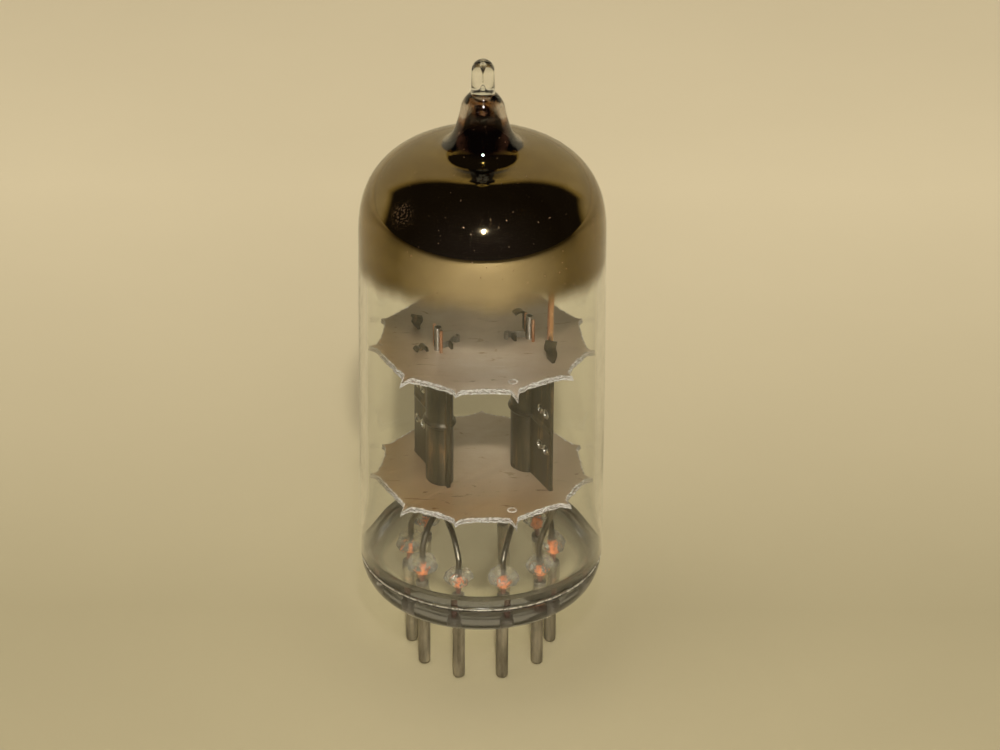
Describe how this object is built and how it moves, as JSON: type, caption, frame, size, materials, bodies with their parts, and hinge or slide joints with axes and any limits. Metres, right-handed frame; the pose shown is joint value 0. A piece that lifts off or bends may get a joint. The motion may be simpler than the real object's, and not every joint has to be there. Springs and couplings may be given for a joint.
{
  "type": "vacuum tube",
  "caption": "Miniature glass vacuum tube with blackened plates between mica spacers, a mirrored getter dome, an exhaust tip and a circle of base pins.",
  "frame": {"origin": "on the tube's axis, in the plane of the pin tips", "axes": "+Z along the tube's axis towards the exhaust tip, -Y the front, +X to the viewer's right; the gap in the pin circle is at the back left"},
  "size_m": [0.0206, 0.0206, 0.0556],
  "materials": {
    "clear_glass": "clear blown glass, gloss",
    "stem_glass": "pressed glass, gloss, faintly blue-grey",
    "mirror_film": "evaporated metal film, brown-black mirror with a smoky lower edge",
    "mica": "split natural mica, streaky, satin with bright broken edges",
    "carbonised_nickel": "matt black carbonised sheet",
    "bright_nickel": "bright nickel",
    "dull_nickel": "dull grey nickel",
    "copper_rod": "drawn copper, satin",
    "copper_clad": "orange oxidised copper cladding seen through glass",
    "heater_coating": "white alumina coating, matt"
  },
  "bodies": {
    "root": {"bulb": "clear_glass", "button_stem": "stem_glass", "cathode_left": "bright_nickel", "cathode_right": "bright_nickel", "cathode_tab_left": "dull_nickel", "cathode_tab_right": "dull_nickel", "exhaust_tip": "clear_glass", "getter_flash": "mirror_film", "getter_ring": "dull_nickel", "getter_support": "copper_rod", "grid_rod_left_far": "copper_rod", "grid_rod_left_near": "copper_rod", "grid_rod_right_far": "copper_rod", "grid_rod_right_near": "copper_rod", "grid_winding_left": "bright_nickel", "grid_winding_right": "bright_nickel", "heater_bridge": "dull_nickel", "heater_left": "heater_coating", "heater_right": "heater_coating", "lead_1": "dull_nickel", "lead_2": "dull_nickel", "lead_3": "dull_nickel", "lead_4": "dull_nickel", "lead_5": "dull_nickel", "lead_6": "dull_nickel", "lead_7": "dull_nickel", "lead_8": "dull_nickel", "lead_9": "dull_nickel", "lower_mica": "mica", "pin_1": "dull_nickel", "pin_2": "dull_nickel", "pin_3": "dull_nickel", "pin_4": "dull_nickel", "pin_5": "dull_nickel", "pin_6": "dull_nickel", "pin_7": "dull_nickel", "pin_8": "dull_nickel", "pin_9": "dull_nickel", "plate_left_inner": "carbonised_nickel", "plate_left_outer": "carbonised_nickel", "plate_right_inner": "carbonised_nickel", "plate_right_outer": "carbonised_nickel", "rivet_left_1": "bright_nickel", "rivet_left_2": "bright_nickel", "rivet_left_3": "bright_nickel", "rivet_left_4": "bright_nickel", "rivet_right_1": "bright_nickel", "rivet_right_2": "bright_nickel", "rivet_right_3": "bright_nickel", "rivet_right_4": "bright_nickel", "seal_wire_1": "copper_clad", "seal_wire_2": "copper_clad", "seal_wire_3": "copper_clad", "seal_wire_4": "copper_clad", "seal_wire_5": "copper_clad", "seal_wire_6": "copper_clad", "seal_wire_7": "copper_clad", "seal_wire_8": "copper_clad", "seal_wire_9": "copper_clad", "upper_mica": "mica"}
  },
  "joints": []
}
